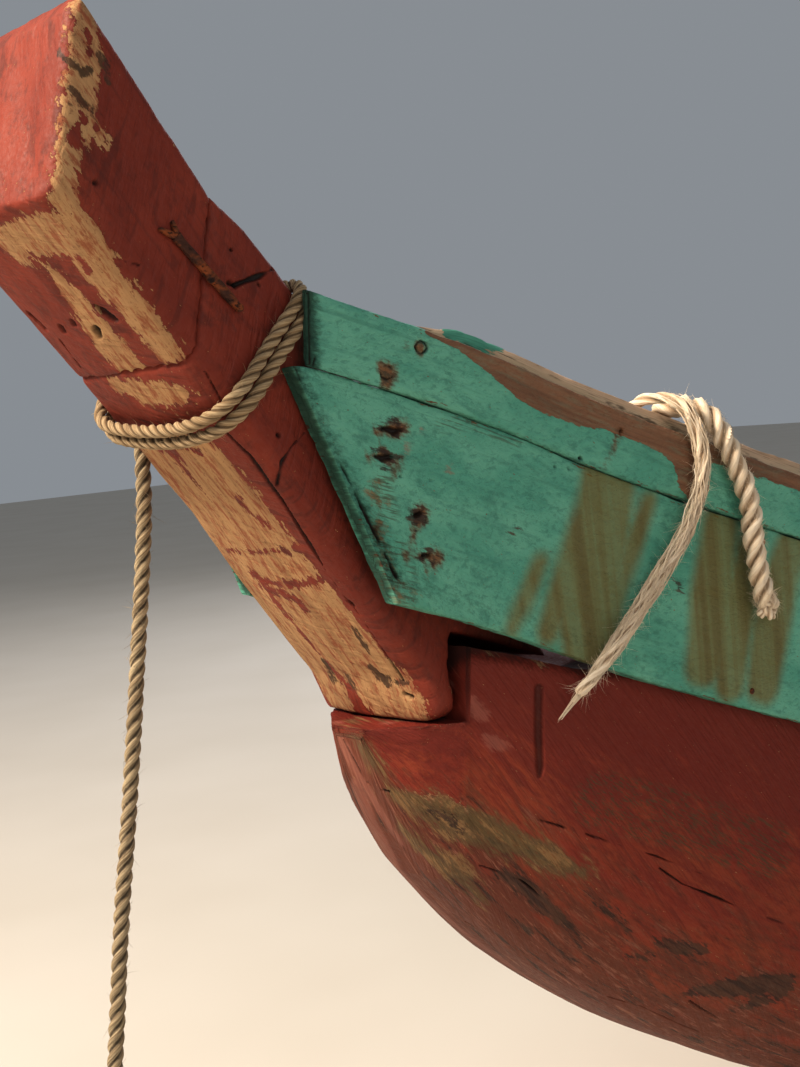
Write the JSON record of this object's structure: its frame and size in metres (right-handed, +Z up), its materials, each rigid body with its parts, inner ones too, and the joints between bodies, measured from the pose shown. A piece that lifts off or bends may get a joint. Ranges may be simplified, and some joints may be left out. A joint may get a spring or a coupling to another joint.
{
  "type": "outrigger canoe",
  "caption": "Dugout outrigger canoe with nailed teal washstrakes, a raised red prow beam, one float on two curved booms and rope lashings.",
  "frame": {"origin": "on the ground under the flat of the keel, amidships on the centre line of the hull", "axes": "+X to the bow, +Y to port, +Z up; the float lies to starboard, at -Y"},
  "size_m": [7.3427, 2.521, 1.6902],
  "materials": {
    "red_paint": "worn red-brown oil paint over wood, flaked to bare wood",
    "teal_paint": "chalky teal oil paint over plank, rust-streaked",
    "weathered_wood": "bare weathered wood, dry",
    "bare_wood": "rough sawn wood, oiled dark by use",
    "rope": "three-strand natural fibre rope, hairy and sun-bleached",
    "rusty_iron": "forged iron, rusted through"
  },
  "bodies": {
    "root": {"hull_bow": "red_paint", "hull_fore": "red_paint", "hull_waist_fore": "red_paint", "hull_waist_aft": "red_paint", "hull_aft": "red_paint", "hull_stern": "red_paint", "prow_neck": "red_paint", "prow_head": "red_paint", "stern_post": "red_paint", "washstrake_lower_port": "teal_paint", "washstrake_upper_port": "teal_paint", "rail_port": "weathered_wood", "rib_1_port": "bare_wood", "rib_2_port": "bare_wood", "rib_3_port": "bare_wood", "rib_4_port": "bare_wood", "washstrake_lower_starboard": "teal_paint", "washstrake_upper_starboard": "teal_paint", "rail_starboard": "weathered_wood", "rib_1_starboard": "bare_wood", "rib_2_starboard": "bare_wood", "rib_3_starboard": "bare_wood", "rib_4_starboard": "bare_wood", "thwart_1": "bare_wood", "thwart_2": "bare_wood", "thwart_3": "bare_wood", "thwart_4": "bare_wood", "thwart_5": "bare_wood", "thwart_6": "bare_wood", "boom_fore": "weathered_wood", "lashing_fore_port": "rope", "lashing_fore_starboard": "rope", "lashing_fore_float": "rope", "boom_aft": "weathered_wood", "lashing_aft_port": "rope", "lashing_aft_starboard": "rope", "lashing_aft_float": "rope", "float_log": "weathered_wood", "stem_turns": "rope", "bow_line_hitch": "rope", "bow_line": "rope", "bow_line_coil": "rope", "tail_hitch": "rope", "tail_frayed": "rope", "tail_laid": "rope", "iron_dog_port": "rusty_iron", "iron_dog_starboard": "rusty_iron"}
  },
  "joints": []
}
